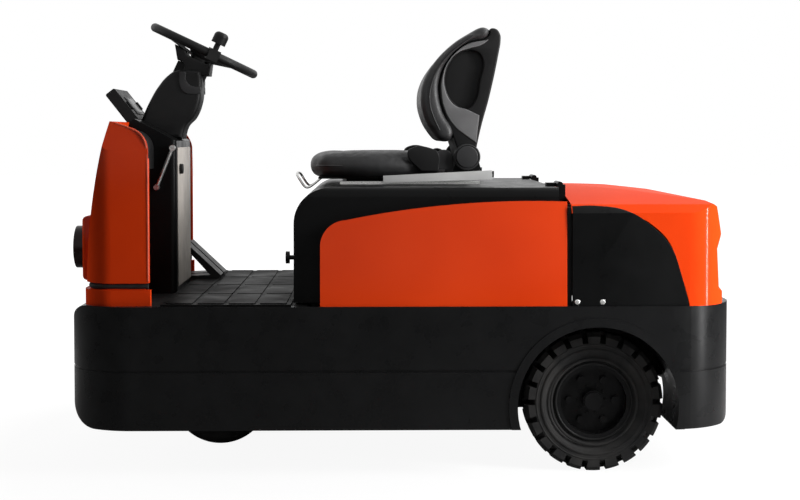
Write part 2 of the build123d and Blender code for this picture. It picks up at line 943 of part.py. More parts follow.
with BuildPart() as rear_hood:
    add(rear_hood_block(0, apron_top, 0))
    add(rear_hood_block(rear_hood_wall, 0, past), mode=Mode.SUBTRACT)
    add(inset_prism.part, mode=Mode.SUBTRACT)
save(rear_hood, "rear_hood")

with BuildPart() as rear_inset_left:
    add(rear_hood_block(inset_sink, apron_top, 0))
    add(rear_hood_block(rear_hood_wall + inset_sink, 0, past), mode=Mode.SUBTRACT)
    add(inset_prism.part, mode=Mode.INTERSECT)
    with Locations((0, -past / 2, 0)):
        Box(past, past, past, mode=Mode.INTERSECT)
save(rear_inset_left, "rear_inset_left")
save(mirrored(rear_inset_left), "rear_inset_right")


# Tail lamps on the rear face

def tail_lamp(side):
    """One round tail lamp on the rear hood."""
    with BuildPart() as lamp:
        with Locations(Location((back(1905), side * 330, 610), (0, 90, 0))):
            Cylinder(36, 40, align=(Align.CENTER, Align.CENTER, Align.MIN))
        fillet(lamp.edges().filter_by(GeomType.CIRCLE).sort_by(Axis.X)[-1], 6)
        add(rear_hood_block(0, apron_top, 0), mode=Mode.SUBTRACT)
    return lamp


save(tail_lamp(-1), "tail_lamp_left")
save(tail_lamp(1), "tail_lamp_right")


# Seat: rails on the hood, then the sliding frame, cushion and reclining back

seat_rail_y = seat_rail_spacing / 2
with BuildPart() as seat_rails:
    with Locations(
        (back(seat_rail_front), -seat_rail_y, hood_top),
        (back(seat_rail_front), seat_rail_y, hood_top),
    ):
        Box(
            seat_rail_length, seat_rail_width, seat_rail_height,
            align=(Align.MIN, Align.CENTER, Align.MIN),
        )
save(seat_rails, "seat_rails")

pan_bottom = cushion_bottom - seat_pan_thickness
runner_bottom = hood_top + seat_rail_height + seat_slide_clearance
bracket_y = seat_width / 2 + 10
recline_x = back(recline_setback)
with BuildPart() as seat_frame:
    with Locations((back(cushion_front + 20), 0, pan_bottom)):
        Box(
            cushion_length + 60, seat_width - 40, seat_pan_thickness,
            align=(Align.MIN, Align.CENTER, Align.MIN),
        )
    with Locations(
        (back(seat_rail_front + 20), -seat_rail_y, runner_bottom),
        (back(seat_rail_front + 20), seat_rail_y, runner_bottom),
    ):
        Box(
            300, seat_rail_width, pan_bottom - runner_bottom,
            align=(Align.MIN, Align.CENTER, Align.MIN),
        )
    for side in (-1, 1):
        with BuildSketch(Plane.XZ.offset(-side * (bracket_y + 4))):
            with BuildLine():
                Polyline(
                    (back(935), 857),
                    (back(1279), 873),
                    (back(1279), 893),
                    (back(1240), 893),
                    (back(1222), 960),
                    (back(1176), 960),
                    (back(1150), 893),
                    (back(935), 879),
                    close=True,
                )
            make_face()
        extrude(amount=side * 8)
    with Locations((back(1090), 0, pan_bottom)):
        Box(
            90, 2 * bracket_y, seat_pan_thickness,
            align=(Align.MIN, Align.CENTER, Align.MIN),
        )
    with Locations(Location((recline_x, 0, recline_height), (90, 0, 0))):
        Cylinder(8, 2 * bracket_y + 40)
save(seat_frame, "seat_frame")

with BuildPart() as seat_cushion:
    with Locations((back(cushion_front), 0, cushion_bottom)):
        Box(
            cushion_length, seat_width, cushion_top - cushion_bottom,
            align=(Align.MIN, Align.CENTER, Align.MIN),
        )
    fillet(seat_cushion.edges().filter_by(Axis.Z), cushion_round + 10)
    fillet(seat_cushion.edges().group_by(Axis.Z)[-1], cushion_round)
save(seat_cushion, "seat_cushion")

with BuildPart() as backrest_cushion:
    with BuildSketch(Plane.XZ):
        with BuildLine():
            front = Spline(
                (back(1120), 985),
                (back(1060), 1055),
                (back(1046), 1115),
                (back(1074), 1190),
                (back(1140), 1265),
                (back(1236), 1336),
            )
            Polyline(
                front @ 1,
                (back(1246), 1326),
                (back(1222), 1150),
                (back(1190), 990),
                front @ 0,
            )
        make_face()
    extrude(amount=seat_width / 2 - 4, both=True)
save(backrest_cushion, "backrest_cushion")

with BuildPart() as backrest_shell:
    with BuildSketch(Plane.XZ):
        with BuildLine():
            Polyline(
                (back(1236), 1337),
                (back(1246.5), 1326),
                (back(1222.5), 1150),
                (back(1190.5), 990),
                (back(1180), 960),
                (back(1184), 915),
                (back(1216), 915),
                (back(1235), 1000),
                (back(1262), 1150),
                (back(1278), 1290),
                (back(1274), 1330),
                (back(1250), 1342),
                close=True,
            )
        make_face()
    extrude(amount=seat_width / 2 - 12, both=True)
    with Locations(Location((recline_x, 0, recline_height), (90, 0, 0))):
        Cylinder(8 + shaft_clearance, past, mode=Mode.SUBTRACT)
save(backrest_shell, "backrest_shell")

with BuildPart() as recline_knobs:
    for side in (-1, 1):
        knob_y = side * (bracket_y + 4 + 16)
        with Locations(Location((recline_x, knob_y, recline_height), (90, 0, 0))):
            Cylinder(recline_knob_radius, 16)
            Cylinder(8, past, mode=Mode.SUBTRACT)
save(recline_knobs, "recline_knobs")

with BuildPart() as slide_handle:
    handle_y = 110
    with BuildLine():
        FilletPolyline(
            (back(740), -handle_y, pan_bottom - 4),
            (back(690), -handle_y, pan_bottom - 8),
            (back(662), -handle_y, 884),
            (back(662), handle_y, 884),
            (back(690), handle_y, pan_bottom - 8),
            (back(740), handle_y, pan_bottom - 4),
            radius=12,
        )
    with BuildSketch(Plane(origin=(back(740), -handle_y, pan_bottom - 4), z_dir=(-50, 0, -4))):
        Circle(4)
    sweep()
save(slide_handle, "slide_handle")


# Front turret, axle and wheel

crown_bottom = front_tyre_diameter + wheel_top_gap
crown_top = crown_bottom + crown_plate
fork_inner_y = front_tyre_width / 2 + fork_side_gap
with BuildPart() as turret:
    with Locations((front_axle_x, 0, crown_bottom)):
        Cylinder(
            fork_inner_y + fork_leg + 8, crown_plate,
            align=(Align.CENTER, Align.CENTER, Align.MIN),
        )
    for side in (-1, 1):
        with BuildSketch(Plane.XZ.offset(side * fork_inner_y)):
            with BuildLine():
                Polyline(
                    (front_axle_x - 55, crown_bottom + 5),
                    (front_axle_x - 34, front_axle_z),
                    (front_axle_x + 34, front_axle_z),
                    (front_axle_x + 55, crown_bottom + 5),
                    close=True,
                )
            make_face()
            with Locations((front_axle_x, front_axle_z)):
                Circle(34)
                Circle(front_axle_diameter / 2, mode=Mode.SUBTRACT)
        extrude(amount=side * fork_leg)
    with Locations((front_axle_x, 0, crown_top - 1)):
        Cylinder(
            king_pin_diameter / 2, rail_top + turret_plate + 30 - crown_top,
            align=(Align.CENTER, Align.CENTER, Align.MIN),
        )
save(turret, "steer_turret")

with BuildPart() as front_axle:
    with Locations(Location((front_axle_x, 0, front_axle_z), (90, 0, 0))):
        Cylinder(front_axle_diameter / 2, 2 * (fork_inner_y + fork_leg + 10))
save(front_axle, "front_axle")


def wheel_plane(x, y, z, outward):
    """A plane at a wheel's middle, with its normal along the axle."""
    return Plane(origin=(x, y, z), x_dir=(1, 0, 0), z_dir=(0, outward, 0))


front_plane = wheel_plane(front_axle_x, 0, front_axle_z, -1)
front_section_plane = Plane(
    origin=(front_axle_x, 0, front_axle_z), x_dir=(0, 1, 0), z_dir=(1, 0, 0)
)
front_spin = Axis((front_axle_x, 0, front_axle_z), (0, 1, 0))
with BuildPart() as front_tyre:
    with BuildSketch(front_section_plane) as section:
        with Locations((0, front_rim_diameter / 2)):
            Rectangle(
                front_tyre_width, (front_tyre_diameter - front_rim_diameter) / 2,
                align=(Align.CENTER, Align.MIN),
            )
        fillet(section.vertices().group_by(Axis.Y)[-1], 22)
        fillet(section.vertices().group_by(Axis.Y)[0], 8)
    revolve(axis=front_spin)
save(front_tyre, "front_tyre")

with BuildPart(front_plane) as front_rim:
    Cylinder(front_rim_diameter / 2, front_tyre_width - 16)
    Cylinder(front_rim_diameter / 2 - 8, front_tyre_width, mode=Mode.SUBTRACT)
    Cylinder(front_rim_diameter / 2 - 4, 16)
    Cylinder(36, front_tyre_width + 10)
    Cylinder(front_axle_diameter / 2 + shaft_clearance, past, mode=Mode.SUBTRACT)
save(front_rim, "front_rim")


# Rear axle with its differential and motor

with BuildPart() as rear_axle:
    hub_y = rear_track / 2 + 30
    with Locations(Location((rear_axle_x, 0, rear_axle_z), (90, 0, 0))):
        Cylinder(axle_tube_diameter / 2, rear_track - 2 * 52)
        Cylinder(differential_diameter / 2, differential_width)
        Cylinder(axle_shaft_diameter / 2, 2 * hub_y)
    with Locations((rear_axle_x - differential_diameter / 2 - 14, 0, rear_axle_z)):
        Box(
            differential_diameter / 2, 120, 120,
            align=(Align.MIN, Align.CENTER, Align.CENTER),
        )
    for side in (-1, 1):
        with Locations((rear_axle_x, side * rail_y, rail_bottom)):
            Box(120, rail_width, rail_bottom - rear_axle_z, align=(
                Align.CENTER, Align.CENTER, Align.MAX
            ))
save(rear_axle, "rear_axle")

motor_rear_x = rear_axle_x - differential_diameter / 2 - 14
with BuildPart() as drive_motor:
    with Locations(Location((motor_rear_x, 0, rear_axle_z), (0, -90, 0))):
        Cylinder(motor_diameter / 2, motor_length, align=(
            Align.CENTER, Align.CENTER, Align.MIN
        ))
save(drive_motor, "drive_motor")


# Rear wheels: tyre with shoulder grooves, and a dished rim with six nuts

left_plane = wheel_plane(rear_axle_x, -rear_track / 2, rear_axle_z, -1)
tyre_half = rear_tyre_width / 2
bead_half = rear_rim_width / 2
rim_radius = rear_rim_diameter / 2
tread_radius = rear_tyre_diameter / 2

with BuildPart() as lug_cutter:
    with BuildSketch(Plane.XZ):
        with BuildLine():
            Polyline(
                (tread_radius - lug_depth, 8),
                (tread_radius - lug_reach, tyre_half + 6),
                (tread_radius + 20, tyre_half + 6),
                (tread_radius + 20, 8),
                close=True,
            )
        make_face()
    extrude(amount=lug_groove / 2, both=True)

with BuildPart(left_plane) as rear_tyre_left:
    with BuildSketch(Plane(
        origin=(rear_axle_x, -rear_track / 2, rear_axle_z),
        x_dir=(0, 1, 0), z_dir=(1, 0, 0),
    )) as section:
        with BuildLine():
            Polyline(
                (-bead_half, rim_radius),
                (-bead_half, rim_radius + rim_flange + 2),
                (-tyre_half, rim_radius + 46),
                (-tyre_half, tread_radius - 12),
                (-tyre_half + 12, tread_radius),
                (tyre_half - 12, tread_radius),
                (tyre_half, tread_radius - 12),
                (tyre_half, rim_radius + 46),
                (bead_half, rim_radius + rim_flange + 2),
                (bead_half, rim_radius),
                close=True,
            )
        make_face()
    revolve(axis=Axis((rear_axle_x, 0, rear_axle_z), (0, 1, 0)))
    with PolarLocations(0, lug_count):
        add(lug_cutter.part, mode=Mode.SUBTRACT)
    with PolarLocations(0, lug_count, start_angle=180 / lug_count):
        add(lug_cutter.part, rotation=(180, 0, 0), mode=Mode.SUBTRACT)
save(rear_tyre_left, "rear_tyre_left")
save(mirrored(rear_tyre_left), "rear_tyre_right")

with BuildPart(left_plane) as rear_rim_left:
    Cylinder(rim_radius, rear_rim_width)
    for end in (-1, 1):
        with Locations((0, 0, end * (bead_half + 2))):
            Cylinder(rim_radius + rim_flange, 4)
    Cylinder(rim_radius - rim_wall, rear_rim_width + 20, mode=Mode.SUBTRACT)
    Cylinder(rim_radius - rim_wall + 1, 10)
    Cylinder(30, 2 * 32)
    with BuildSketch(left_plane.offset(4)):
        with PolarLocations(69, 6):
            RegularPolygon(12, 6)
    extrude(amount=16)
    with Locations((0, 0, -32)):
        Cylinder(
            axle_shaft_diameter / 2 + shaft_clearance, 68,
            align=(Align.CENTER, Align.CENTER, Align.MIN), mode=Mode.SUBTRACT,
        )
    with Locations((0, 0, 35)):
        Cylinder(26, 8, align=(Align.CENTER, Align.CENTER, Align.MIN))
    with Locations((0, 0, 32)):
        Cylinder(30, 3.5, align=(Align.CENTER, Align.CENTER, Align.MIN))
save(rear_rim_left, "rear_rim_left")
save(mirrored(rear_rim_left), "rear_rim_right")


# Tow coupling on the rear bumper, with its drop pin

jaw_half = jaw_width / 2
jaw_middle_z = apron_bottom + 170
pin_x = rear_x + coupling_reach - 32
with BuildPart() as tow_coupling:
    with Locations((rear_x, 0, jaw_middle_z)):
        Box(14, jaw_width + 50, jaw_opening + 2 * jaw_plate + 60, align=(
            Align.MIN, Align.CENTER, Align.CENTER
        ))
    for end in (-1, 1):
        with BuildSketch(Plane.XY.offset(
            jaw_middle_z + end * (jaw_opening / 2 + jaw_plate / 2) - jaw_plate / 2
        )) as jaw:
            with Locations((rear_x + 10, 0)):
                Rectangle(
                    coupling_reach - 10, jaw_width, align=(Align.MIN, Align.CENTER)
                )
            fillet(jaw.vertices().group_by(Axis.X)[-1], 30)
        extrude(amount=jaw_plate)
    with Locations((pin_x, 0, jaw_middle_z)):
        Cylinder(tow_pin_diameter / 2 + shaft_clearance, past / 4, mode=Mode.SUBTRACT)
save(tow_coupling, "tow_coupling")

pin_length = jaw_opening + 2 * jaw_plate + 20
with BuildPart() as tow_pin:
    with Locations((pin_x, 0, jaw_middle_z - pin_length / 2)):
        Cylinder(tow_pin_diameter / 2, pin_length + 20, align=(
            Align.CENTER, Align.CENTER, Align.MIN
        ))
    with Locations((pin_x, 0, jaw_middle_z + jaw_opening / 2 + jaw_plate + 0.5)):
        Cylinder(tow_pin_diameter / 2 + 8, 8, align=(
            Align.CENTER, Align.CENTER, Align.MIN
        ))
    with Locations(Location((pin_x, 0, jaw_middle_z + pin_length / 2 + 20), (90, 0, 0))):
        Torus(16, 4)
save(tow_pin, "tow_pin")
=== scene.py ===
import json
import math

import bpy
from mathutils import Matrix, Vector

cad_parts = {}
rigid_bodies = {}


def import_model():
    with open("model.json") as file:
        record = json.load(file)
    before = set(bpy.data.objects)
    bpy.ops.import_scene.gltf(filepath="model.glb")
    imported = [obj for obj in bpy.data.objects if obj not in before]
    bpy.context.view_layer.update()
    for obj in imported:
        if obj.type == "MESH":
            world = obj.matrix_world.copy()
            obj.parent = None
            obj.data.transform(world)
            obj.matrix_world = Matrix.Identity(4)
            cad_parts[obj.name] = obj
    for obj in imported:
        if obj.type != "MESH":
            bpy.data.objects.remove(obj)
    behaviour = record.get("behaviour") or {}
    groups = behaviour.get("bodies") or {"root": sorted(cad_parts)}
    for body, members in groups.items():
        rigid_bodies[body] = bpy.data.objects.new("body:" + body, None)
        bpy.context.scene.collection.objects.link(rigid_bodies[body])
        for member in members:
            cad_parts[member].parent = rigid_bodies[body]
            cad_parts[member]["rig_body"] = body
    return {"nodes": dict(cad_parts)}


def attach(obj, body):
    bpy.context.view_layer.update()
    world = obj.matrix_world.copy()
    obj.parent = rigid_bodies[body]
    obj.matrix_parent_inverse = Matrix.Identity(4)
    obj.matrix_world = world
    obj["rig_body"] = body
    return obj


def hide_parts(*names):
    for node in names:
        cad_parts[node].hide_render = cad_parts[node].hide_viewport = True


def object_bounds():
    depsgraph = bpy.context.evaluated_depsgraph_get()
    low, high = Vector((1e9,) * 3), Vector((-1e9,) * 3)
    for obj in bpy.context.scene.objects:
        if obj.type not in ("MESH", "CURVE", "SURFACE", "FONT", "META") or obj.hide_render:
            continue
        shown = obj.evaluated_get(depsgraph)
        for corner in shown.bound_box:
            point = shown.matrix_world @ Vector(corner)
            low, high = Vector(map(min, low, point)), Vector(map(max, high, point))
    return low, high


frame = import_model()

# Airport baggage tug: finishes, padded seat, lamps, fasteners and trim on the CAD frame.
# Metres. The front points to -X, the vehicle's left side to -Y, +Z is up.

cad_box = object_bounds()
front_end = cad_box[0].x


def spot(behind, side, height):
    """A point given in millimetres behind the front end, to the right side and above the floor."""
    return Vector((front_end + behind / 1000, side / 1000, height / 1000))


def deselect():
    bpy.ops.object.select_all(action="DESELECT")


def select_only(piece):
    deselect()
    piece.select_set(True)
    bpy.context.view_layer.objects.active = piece


# Finishes: every one is a node material on Object coordinates

def new_finish(name, roughness):
    """A material with its node tree and shader."""
    finish = bpy.data.materials.new(name)
    finish.use_nodes = True
    tree = finish.node_tree
    shader = tree.nodes["Principled BSDF"]
    shader.inputs["Roughness"].default_value = roughness
    return finish, tree, shader


def noise(tree, scale, detail=2.0, stretch=(1, 1, 1)):
    """Noise over the piece. Stretch squeezes it along an axis for brushed or streaked marks."""
    place = tree.nodes.new("ShaderNodeTexCoord")
    mapping = tree.nodes.new("ShaderNodeMapping")
    mapping.inputs["Scale"].default_value = stretch
    pattern = tree.nodes.new("ShaderNodeTexNoise")
    pattern.inputs["Scale"].default_value = scale
    pattern.inputs["Detail"].default_value = detail
    tree.links.new(place.outputs["Object"], mapping.inputs["Vector"])
    tree.links.new(mapping.outputs["Vector"], pattern.inputs["Vector"])
    return pattern.outputs["Fac"]


def cells(tree, scale):
    """Rounded cells over the piece, for leather grain and pebbled plastic."""
    place = tree.nodes.new("ShaderNodeTexCoord")
    pattern = tree.nodes.new("ShaderNodeTexVoronoi")
    pattern.feature = "SMOOTH_F1"
    pattern.inputs["Scale"].default_value = scale
    tree.links.new(place.outputs["Object"], pattern.inputs["Vector"])
    return pattern.outputs["Distance"]


def colour_from(tree, shader, factor, dark, light):
    """Base colour that turns from dark to light with the factor."""
    ramp = tree.nodes.new("ShaderNodeValToRGB")
    ramp.color_ramp.elements[0].position = 0.3
    ramp.color_ramp.elements[0].color = (*dark, 1)
    ramp.color_ramp.elements[1].position = 0.7
    ramp.color_ramp.elements[1].color = (*light, 1)
    tree.links.new(factor, ramp.inputs["Fac"])
    tree.links.new(ramp.outputs["Color"], shader.inputs["Base Color"])


def roughness_from(tree, shader, factor, low, high):
    """Roughness that turns from low to high with the factor."""
    spread = tree.nodes.new("ShaderNodeMapRange")
    spread.inputs["From Min"].default_value = 0.3
    spread.inputs["From Max"].default_value = 0.7
    spread.inputs["To Min"].default_value = low
    spread.inputs["To Max"].default_value = high
    tree.links.new(factor, spread.inputs["Value"])
    tree.links.new(spread.outputs["Result"], shader.inputs["Roughness"])


def bump_from(tree, shader, height, strength, distance):
    """Surface relief from a height, its distance in metres."""
    bump = tree.nodes.new("ShaderNodeBump")
    bump.inputs["Strength"].default_value = strength
    bump.inputs["Distance"].default_value = distance
    tree.links.new(height, bump.inputs["Height"])
    tree.links.new(bump.outputs["Normal"], shader.inputs["Normal"])


def orange_gloss():
    finish, tree, shader = new_finish("orange_gloss", 0.24)
    shader.inputs["Specular IOR Level"].default_value = 0.0
    shader.inputs["Coat Weight"].default_value = 0.16
    shader.inputs["Coat Roughness"].default_value = 0.1
    colour_from(tree, shader, noise(tree, 3.0), (0.7, 0.045, 0.005), (0.78, 0.056, 0.0075))
    roughness_from(tree, shader, noise(tree, 14.0, 4.0), 0.2, 0.3)
    bump_from(tree, shader, noise(tree, 420.0), 0.12, 0.0003)
    return finish


def black_paint(name, shade, low, high, gloss=0.07):
    """Black satin paint over sheet steel, with a fine orange peel."""
    finish, tree, shader = new_finish(name, low)
    shader.inputs["Specular IOR Level"].default_value = gloss
    light = tuple(1.5 * value for value in shade)
    colour_from(tree, shader, noise(tree, 5.0, 5.0), shade, light)
    roughness_from(tree, shader, noise(tree, 18.0, 5.0), low, high)
    bump_from(tree, shader, noise(tree, 520.0), 0.18, 0.0003)
    return finish


def moulded_plastic(name, shade, low, high):
    """Textured moulded plastic."""
    finish, tree, shader = new_finish(name, low)
    shader.inputs["Specular IOR Level"].default_value = 0.16
    light = tuple(1.4 * value for value in shade)
    colour_from(tree, shader, noise(tree, 9.0, 3.0), shade, light)
    roughness_from(tree, shader, noise(tree, 30.0, 4.0), low, high)
    bump_from(tree, shader, cells(tree, 900.0), 0.35, 0.0003)
    return finish


def tyre_rubber():
    finish, tree, shader = new_finish("tyre_rubber", 0.7)
    shader.inputs["Specular IOR Level"].default_value = 0.12
    colour_from(tree, shader, noise(tree, 16.0, 8.0), (0.013, 0.013, 0.0135), (0.03, 0.029, 0.028))
    roughness_from(tree, shader, noise(tree, 40.0, 5.0), 0.55, 0.8)
    bump_from(tree, shader, noise(tree, 260.0, 6.0), 0.3, 0.0008)
    return finish


def mat_rubber():
    finish, tree, shader = new_finish("mat_rubber", 0.5)
    shader.inputs["Specular IOR Level"].default_value = 0.03
    colour_from(tree, shader, noise(tree, 12.0, 6.0), (0.004, 0.004, 0.004), (0.01, 0.01, 0.01))
    roughness_from(tree, shader, noise(tree, 7.0, 4.0), 0.36, 0.62)
    bump_from(tree, shader, cells(tree, 260.0), 0.5, 0.0008)
    return finish


def zinc_steel():
    finish, tree, shader = new_finish("zinc_steel", 0.3)
    shader.inputs["Metallic"].default_value = 1.0
    brushed = noise(tree, 160.0, 3.0, (1, 12, 12))
    colour_from(tree, shader, brushed, (0.5, 0.5, 0.49), (0.72, 0.72, 0.7))
    roughness_from(tree, shader, brushed, 0.22, 0.4)
    bump_from(tree, shader, brushed, 0.15, 0.0002)
    return finish


def cast_metal():
    finish, tree, shader = new_finish("cast_metal", 0.6)
    shader.inputs["Metallic"].default_value = 0.4
    colour_from(tree, shader, noise(tree, 20.0, 6.0), (0.012, 0.012, 0.012), (0.035, 0.034, 0.033))
    roughness_from(tree, shader, noise(tree, 60.0, 5.0), 0.5, 0.75)
    bump_from(tree, shader, noise(tree, 340.0, 8.0), 0.5, 0.0009)
    return finish


def seat_vinyl():
    finish, tree, shader = new_finish("seat_vinyl", 0.45)
    shader.inputs["Specular IOR Level"].default_value = 0.4
    colour_from(tree, shader, noise(tree, 14.0, 4.0), (0.0105, 0.0105, 0.011), (0.022, 0.022, 0.023))
    roughness_from(tree, shader, noise(tree, 50.0, 3.0), 0.38, 0.55)
    bump_from(tree, shader, cells(tree, 480.0), 0.6, 0.0007)
    return finish


def clear_lens():
    finish, tree, shader = new_finish("clear_lens", 0.05)
    shader.inputs["Transmission Weight"].default_value = 0.9
    shader.inputs["IOR"].default_value = 1.45
    colour_from(tree, shader, noise(tree, 20.0), (0.85, 0.87, 0.88), (0.95, 0.96, 0.97))
    return finish


def red_lens():
    finish, tree, shader = new_finish("red_lens", 0.12)
    shader.inputs["Coat Weight"].default_value = 0.8
    colour_from(tree, shader, cells(tree, 260.0), (0.22, 0.004, 0.004), (0.5, 0.012, 0.01))
    bump_from(tree, shader, cells(tree, 260.0), 0.6, 0.001)
    return finish


def display_glass():
    finish, tree, shader = new_finish("display_glass", 0.2)
    shader.inputs["Specular IOR Level"].default_value = 0.15
    colour_from(tree, shader, noise(tree, 30.0), (0.01, 0.013, 0.014), (0.02, 0.025, 0.026))
    return finish


orange = orange_gloss()
apron_black = black_paint("apron_black", (0.0048, 0.0049, 0.0051), 0.24, 0.36, 0.13)
hood_black = black_paint("hood_black", (0.0035, 0.0036, 0.0037), 0.26, 0.38)
chassis_black = black_paint("chassis_black", (0.006, 0.006, 0.006), 0.5, 0.65)
rim_black = black_paint("rim_black", (0.006, 0.006, 0.0062), 0.22, 0.34)
rim_gloss = black_paint("rim_gloss", (0.012, 0.012, 0.012), 0.12, 0.2)
plastic_black = moulded_plastic("plastic_black", (0.007, 0.007, 0.0072), 0.38, 0.52)
shell_grey = moulded_plastic("shell_grey", (0.03, 0.03, 0.031), 0.32, 0.45)
# Light grey for the backrest's C-shaped side bands: a painted highlight on the shell's curved edge.
painted_highlight_grey = moulded_plastic("painted_highlight_grey", (0.13, 0.13, 0.132), 0.35, 0.5)
grip_black = moulded_plastic("grip_black", (0.009, 0.009, 0.009), 0.42, 0.55)
bracket_grey = black_paint("bracket_grey", (0.48, 0.48, 0.475), 0.35, 0.5)
battery_grey = black_paint("battery_grey", (0.05, 0.052, 0.055), 0.4, 0.55)
# Lighter orange for the cowl's rolled edges: a painted highlight of light catching their gloss.
painted_highlight_orange = moulded_plastic("painted_highlight_orange", (0.6, 0.09, 0.045), 0.25, 0.35)
# Pale warm grey for the console's back: painted sheen of light on its rear face.
painted_sheen_grey = moulded_plastic("painted_sheen_grey", (0.34, 0.31, 0.28), 0.35, 0.5)
panel_trim = moulded_plastic("panel_trim", (0.009, 0.009, 0.0095), 0.3, 0.42)
lamp_black = moulded_plastic("lamp_black", (0.01, 0.003, 0.003), 0.2, 0.3)
rubber = tyre_rubber()
mat = mat_rubber()
zinc = zinc_steel()
cast = cast_metal()
vinyl = seat_vinyl()
lens = clear_lens()
red = red_lens()
screen = display_glass()

node_finish = {
    orange: [
        "front_cowl", "cowl_base", "headlamp_left", "headlamp_right",
        "side_panel_left", "side_panel_right", "rear_hood",
    ],
    apron_black: [
        "front_bumper", "rear_bumper", "apron_left", "apron_right",
        "wheel_arch_left", "wheel_arch_right",
    ],
    hood_black: ["battery_hood", "bulkhead", "rear_inset_left", "rear_inset_right", "console"],
    chassis_black: [
        "rail_left", "rail_right", "cross_members", "turret_bridge", "floor_plate",
        "rear_axle", "drive_motor", "steer_turret", "seat_frame",
    ],
    plastic_black: [
        "dash_cover", "column_head", "column_cover", "instrument_panel", "hood_knob",
        "accelerator_pedal", "brake_pedal", "recline_knobs", "spinner_knob",
    ],
    rim_black: ["front_rim", "rear_rim_left", "rear_rim_right"],
    rubber: ["front_tyre", "rear_tyre_left", "rear_tyre_right"],
    mat: ["floor_mat"],
    zinc: ["column_strut", "seat_rails", "slide_handle", "tow_pin", "front_axle"],
    cast: ["tow_coupling"],
    grip_black: ["hand_wheel"],
    shell_grey: ["backrest_shell"],
    red: ["tail_lamp_left", "tail_lamp_right"],
    battery_grey: ["battery_block"],
    vinyl: ["seat_cushion", "backrest_cushion"],
}

for finish, names in node_finish.items():
    for name in names:
        mesh = frame["nodes"][name].data
        mesh.materials.clear()
        mesh.materials.append(finish)


# Shaping: what the pieces below share

def finish_piece(piece, name, finish, body, smooth=35):
    """Puts the place into the mesh, closes doubles, turns faces out, then names, paints and hangs it."""
    select_only(piece)
    bpy.ops.object.transform_apply(location=True, rotation=True, scale=True)
    bpy.ops.object.mode_set(mode="EDIT")
    bpy.ops.mesh.select_all(action="SELECT")
    bpy.ops.mesh.remove_doubles(threshold=0.00002)
    bpy.ops.mesh.normals_make_consistent(inside=False)
    bpy.ops.object.mode_set(mode="OBJECT")
    bpy.ops.object.shade_smooth_by_angle(angle=math.radians(smooth))
    piece.name = name
    piece.data.name = name
    piece.data.materials.clear()
    piece.data.materials.append(finish)
    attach(piece, body)
    deselect()
    return piece


def apply_all(piece):
    """Applies every modifier of the piece, in order."""
    select_only(piece)
    for modifier in list(piece.modifiers):
        bpy.ops.object.modifier_apply(modifier=modifier.name)


def rounded(piece, width, segments=3, limit=30):
    """Bevels the sharp edges by width and applies it."""
    bevel = piece.modifiers.new("edge", "BEVEL")
    bevel.width = width
    bevel.segments = segments
    bevel.limit_method = "ANGLE"
    bevel.angle_limit = math.radians(limit)
    apply_all(piece)


def disc(centre, radius, depth, turn=(0, 0, 0), sides=48):
    """A round bar's start, its axis along Z before the turn."""
    deselect()
    bpy.ops.mesh.primitive_cylinder_add(
        vertices=sides, radius=radius, depth=depth, location=centre, rotation=turn
    )
    return bpy.context.active_object


def cone(centre, low, high, depth, turn=(0, 0, 0), sides=64):
    """A tapered disc's start, from the low radius to the high one along Z before the turn."""
    deselect()
    bpy.ops.mesh.primitive_cone_add(
        vertices=sides, radius1=low, radius2=high, depth=depth, location=centre, rotation=turn
    )
    return bpy.context.active_object


def block(centre, size, turn=(0, 0, 0)):
    """A box's start, its size along X, Y and Z before the turn."""
    deselect()
    bpy.ops.mesh.primitive_cube_add(size=1, location=centre, rotation=turn)
    piece = bpy.context.active_object
    piece.scale = size
    bpy.ops.object.transform_apply(location=False, rotation=False, scale=True)
    return piece


def ring(centre, radius, section, turn=(0, 0, 0), flatness=1.0, around=96, across=12):
    """A round ring, its axis along Z before the turn, its section flattened along that axis."""
    deselect()
    bpy.ops.mesh.primitive_torus_add(
        location=centre, rotation=turn, major_radius=radius, minor_radius=section,
        major_segments=around, minor_segments=across,
    )
    piece = bpy.context.active_object
    piece.scale = (1, 1, flatness)
    bpy.ops.object.transform_apply(location=False, rotation=False, scale=True)
    return piece


def joined(pieces):
    """One piece from several."""
    deselect()
    for piece in pieces:
        piece.select_set(True)
    bpy.context.view_layer.objects.active = pieces[0]
    bpy.ops.object.transform_apply(location=True, rotation=True, scale=True)
    bpy.ops.object.join()
    return bpy.context.active_object


def rod(points, thickness, name, finish, body, closed=False):
    """A smooth round rod through the points."""
    curve = bpy.data.curves.new(name, "CURVE")
    curve.dimensions = "3D"
    curve.bevel_depth = thickness / 2
    curve.bevel_resolution = 3
    curve.resolution_u = 4
    curve.use_fill_caps = not closed
    spline = curve.splines.new("NURBS")
    spline.points.add(len(points) - 1)
    for point, place in zip(spline.points, points):
        point.co = (*place, 1)
    spline.order_u = 3
    spline.use_cyclic_u = closed
    spline.use_endpoint_u = not closed
    piece = bpy.data.objects.new(name, curve)
    bpy.context.scene.collection.objects.link(piece)
    select_only(piece)
    bpy.ops.object.convert(target="MESH")
    return finish_piece(bpy.context.active_object, name, finish, body)


# Turns that lay a round bar's axis across or along the vehicle, and the mark of a sharp point

facing_side = (math.pi / 2, 0, 0)
facing_front = (0, math.pi / 2, 0)
corner = "corner"


